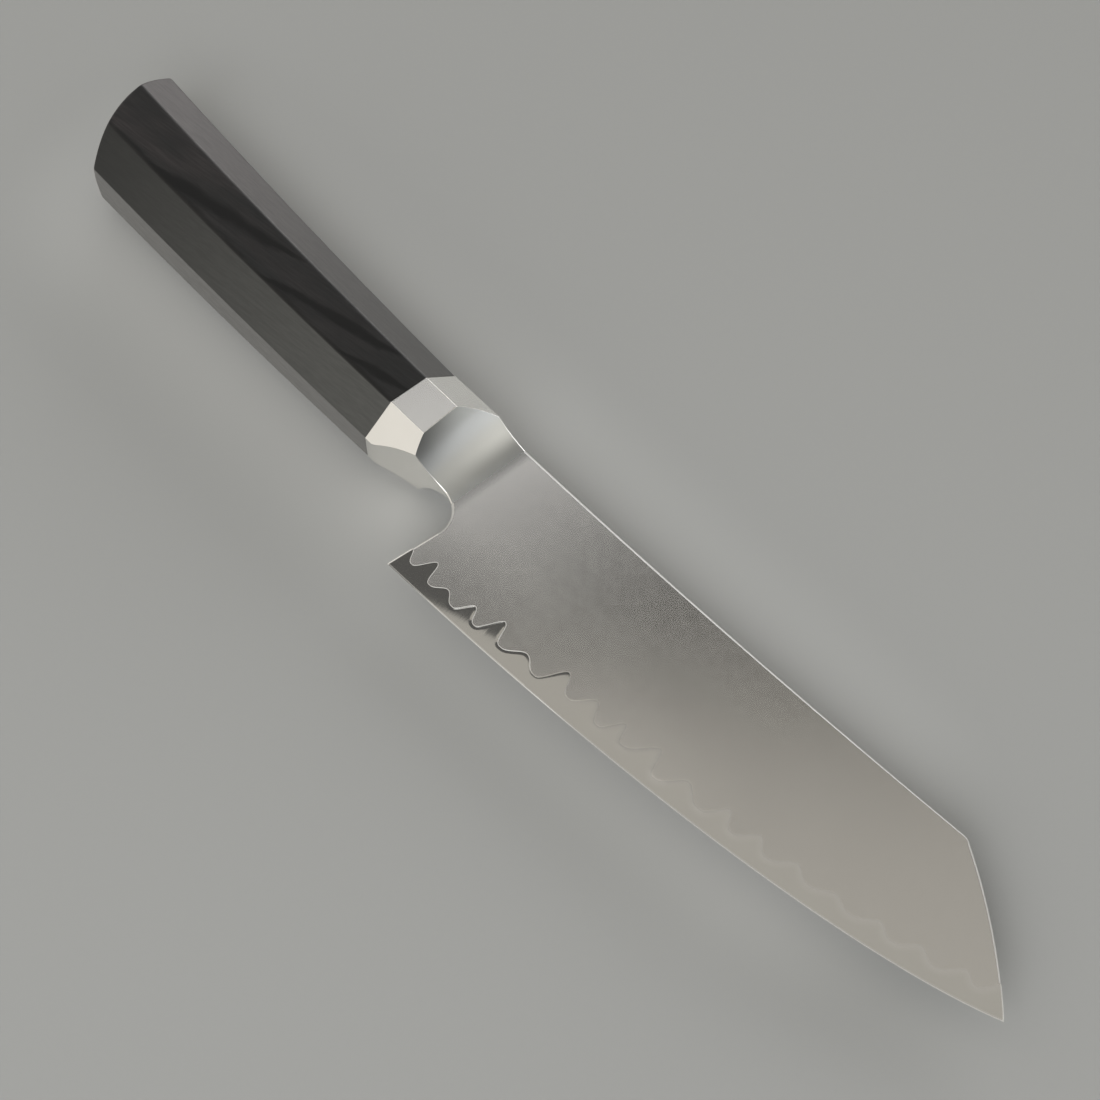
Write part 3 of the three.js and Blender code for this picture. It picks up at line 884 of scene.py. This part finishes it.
def make_black_wood():
    """Black laminated wood with fine streaks along the grain. On the side facets ragged dark flames cross
    it, a dark seam runs along the lower edge, and brown patches show to the rear. The other facets carry
    painted light: they are painted paler, the under facet most, and the lower facet only toward the front."""
    finish, shader, wire = new_finish("black_wood", 0.0)
    along, across, depth = own_axes(wire)
    streaks = grain(wire, (60, 1300, 1300), detail=5, roughness=0.65, turn=0.1)
    fibres = grain(wire, (200, 2400, 2400), detail=3, roughness=0.6, turn=0.12)
    ragged = grain(wire, (90, 420, 420), detail=4, roughness=0.6, turn=0.15) - 0.5
    figure = 0.0
    for start, end, half_width in flames:
        first = np.array(start) + joint_place[:2]
        run = np.array(end) - start
        length = np.linalg.norm(run)
        run = run / length
        ahead = along * (run[0] / mm) + across * (run[1] / mm) - float(first @ run)
        aside = across * (run[0] / mm) - along * (run[1] / mm) - float(first @ (-run[1], run[0]))
        share = ahead / length
        lens = wire.maths("MAXIMUM", 4 * share * (1 - share), 0.001)
        off = wire.maths("ABSOLUTE", aside + flame_ragged * ragged) / (half_width * lens)
        figure = figure + (1 - off.between(*flame_edge)) * lens.between(0.0, 0.5)
    off_middle = wire.maths("ABSOLUTE", depth - joint_place[2] * mm)
    side = off_middle.between(*side_reach)
    upper = across.between(-0.001, 0.001)
    front = along.between(-0.07, 0.06)
    fine = (0.5 * streaks + 0.5 * fibres).between(0.36, 0.64)
    brown = grain(wire, (26, 130, 130), detail=3, turn=0.15).between(0.42, 0.62)
    # painted light on the facets other than the sides
    lower_painted_light = front.blend(lower_wood_painted_shade, front_wood_painted_lit)
    from_joint = along / mm - joint_place[0]
    flat_edge = (front_flat - (rear_flat - front_flat) / handle_length * from_joint) / 2
    under = 1 - (off_middle / mm - flat_edge).between(-0.15, 0.15)
    upper_painted_light = front.blend(upper_wood_painted_lit, upper_front_wood_painted_lit)
    facet_painted_light = upper.blend(under.blend(lower_painted_light, under_wood_painted_lit), upper_painted_light)
    body = side.blend(facet_painted_light, (brown * (1 - 0.9 * front)).blend(side_wood, brown_wood))
    streaked = (fine * (0.2 + 0.25 * side)).blend(body, black_figure)
    side_edge = (front_side - (rear_side - front_side) / handle_length * from_joint) / 2
    bowed = ((from_joint - bow_lowest)**2 - bow_lowest**2) / (2 * bow_radius)
    over_lower = across / mm - bowed + side_edge
    seam = seam_strength * (1 - (over_lower + seam_ragged * ragged).between(*seam_edge))
    dark = wire.maths("MAXIMUM", figure * 0.95, seam)
    join(shader, "Base Color", (dark * side).blend(streaked, black_figure))
    join(shader, "Roughness", 0.34 + 0.1 * streaks + 0.05 * fibres)
    join(shader, "Normal", dented(wire, streaks + 0.5 * fibres, grain_depth))
    shader.inputs["IOR"].default_value = wood_ior
    return finish


handle = loft("handle_block", handle_rings())
handle.data.materials.append(make_black_wood())
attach(handle, "root")
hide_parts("handle")

# Table and light: a plain pale grey sheet under the knife, painted paler close to the handle to lift the
# knife's shadow there, studio walls with bright panels overhead, and one large soft lamp.
sheet_colour = (0.34, 0.346, 0.342, 1)
fibre_colour = (0.335, 0.341, 0.337, 1)
# painted light: the sheet is painted paler close to the handle, where its shadow falls, so the shadow is
# lifted
painted_light_colour = (0.43, 0.436, 0.431, 1)  # paler close to the handle, where little light reaches it
shade_reach = (0.010, 0.046)
shade_middle = 0.02
shade_half = 0.1
sheet_size = 3.0
sheet_middle = (0.05, 0, 0)
bpy.ops.mesh.primitive_plane_add(size=sheet_size, location=sheet_middle)
sheet = bpy.context.object
sheet.name = "table_sheet"
sheet_finish, sheet_shader, sheet_wire = new_finish("table_sheet", 0.0)
fibres = grain(sheet_wire, (700, 700, 700))
spot_x, spot_y, _ = own_axes(sheet_wire)
off_middle = sheet_wire.maths("ABSOLUTE", spot_x - shade_middle)
past_end = sheet_wire.maths("MAXIMUM", off_middle - shade_half, 0)
away = (past_end**2 + spot_y**2)**0.5
# painted light close to the handle, lifting its shadow
under = 1 - away.between(*shade_reach)
plain_sheet = fibres.blend(fibre_colour, sheet_colour)
join(sheet_shader, "Base Color", under.blend(plain_sheet, painted_light_colour))
sheet_shader.inputs["Roughness"].default_value = 0.9
sheet_shader.inputs["Specular IOR Level"].default_value = 0.0
sheet.data.materials.append(sheet_finish)

# Overhead the walls are bright between slanting lines, each given by a level direction across it and by the
# range of that direction's share over which the brightness changes
wide_slant = (0.6211, -0.7837, 0.0)
wide_edge = (-0.3586, -0.3566)
strip_slant = (0.9008, -0.4341, 0.0)
strip_near = (-0.4972, -0.4772)
strip_far = (-0.4478, -0.4238)
rear_edge = (-0.64, -0.52)
overhead_strength = 0.03
wide_strength = 0.56
strip_strength = 1.84
rear_strength = 0.26
overhead_start = (0.45, 0.7)  # between these heights of a ray the walls go over to the panels
front_side_wall = (-0.43, -0.84, 0.3)
spine_side_wall = (-0.3, 0.95, 0.14)
wall_strength = 0.62
front_strength = 0.3
spine_strength = 2.2
plain_light = (1, 0.995, 0.99, 1)
warm_light = (1.04, 0.995, 0.91, 1)
world = bpy.data.worlds.new("studio_walls")
bpy.context.scene.world = world
world.use_nodes = True
walls = Wire(world.node_tree)
facing = walls.node("ShaderNodeTexCoord", output=0)


def share_of(direction):
    """The share of a direction in a ray: their dot product."""
    sockets = {0: facing, 1: tuple(direction)}
    return walls.node("ShaderNodeVectorMath", {"operation": "DOT_PRODUCT"}, sockets, output=1)


def glow(direction, inner, outer):
    """One near a direction and nought away from it, by the angle in degrees."""
    unit = np.array(direction) / np.linalg.norm(direction)
    return share_of(unit).between(float(np.cos(np.radians(outer))), float(np.cos(np.radians(inner))))


height = walls.node("ShaderNodeSeparateXYZ", None, {0: facing}, output=2)
wide_panel = share_of(wide_slant).between(*wide_edge)
strip_across = share_of(strip_slant)
strip_panel = strip_across.between(*strip_near) * (1 - strip_across.between(*strip_far))
rear_panel = 1 - strip_across.between(*rear_edge)
overhead = overhead_strength + wide_strength * wide_panel + strip_strength * strip_panel
overhead = overhead + rear_strength * rear_panel
front_glow = glow(front_side_wall, 25, 60)
around = wall_strength + spine_strength * glow(spine_side_wall, 15, 45) + front_strength * front_glow
high = height.between(*overhead_start)
level = around + high * (overhead - around)
background = world.node_tree.nodes["Background"]
warm = walls.maths("MAXIMUM", wide_panel * high, 0.8 * front_glow)
join(background, "Color", warm.blend(plain_light, warm_light))
join(background, "Strength", level)

lamp_place = Vector((0.45, -0.85, 1.05))
lamp_size = 0.9
lamp_power = 9.0
lamp_data = bpy.data.lights.new("front_lamp", "AREA")
lamp_data.shape = "SQUARE"
lamp_data.size = lamp_size
lamp_data.energy = lamp_power
lamp = bpy.data.objects.new("front_lamp", lamp_data)
aim = (-lamp_place).to_track_quat("-Z", "Y").to_matrix().to_4x4()
lamp.matrix_world = Matrix.Translation(lamp_place) @ aim
bpy.context.scene.collection.objects.link(lamp)

# Camera: at the photograph's viewing angle. Its place and its lens were fitted to the photograph's own
# perspective.
sensor_width = 36.0
frame_pixels = 1100
focal_pixels = 2300
camera_right = (0.687267, 0.726396, 0.003643)
camera_up = (-0.655968, 0.618463, 0.432677)
camera_back = (0.312042, -0.299754, 0.901542)
camera_place = (0.247858, -0.146229, 0.450409)
lens_data = bpy.data.cameras.new("camera")
lens_data.sensor_width = sensor_width
lens_data.lens = sensor_width * focal_pixels / frame_pixels
lens_data.clip_start = 0.01
camera = bpy.data.objects.new("camera", lens_data)
turned = np.stack([camera_right, camera_up, camera_back, camera_place], axis=1)
camera.matrix_world = Matrix(np.vstack([turned, (0, 0, 0, 1)]).tolist())
bpy.context.scene.collection.objects.link(camera)
bpy.context.scene.camera = camera
bpy.context.scene.view_settings.view_transform = "Standard"
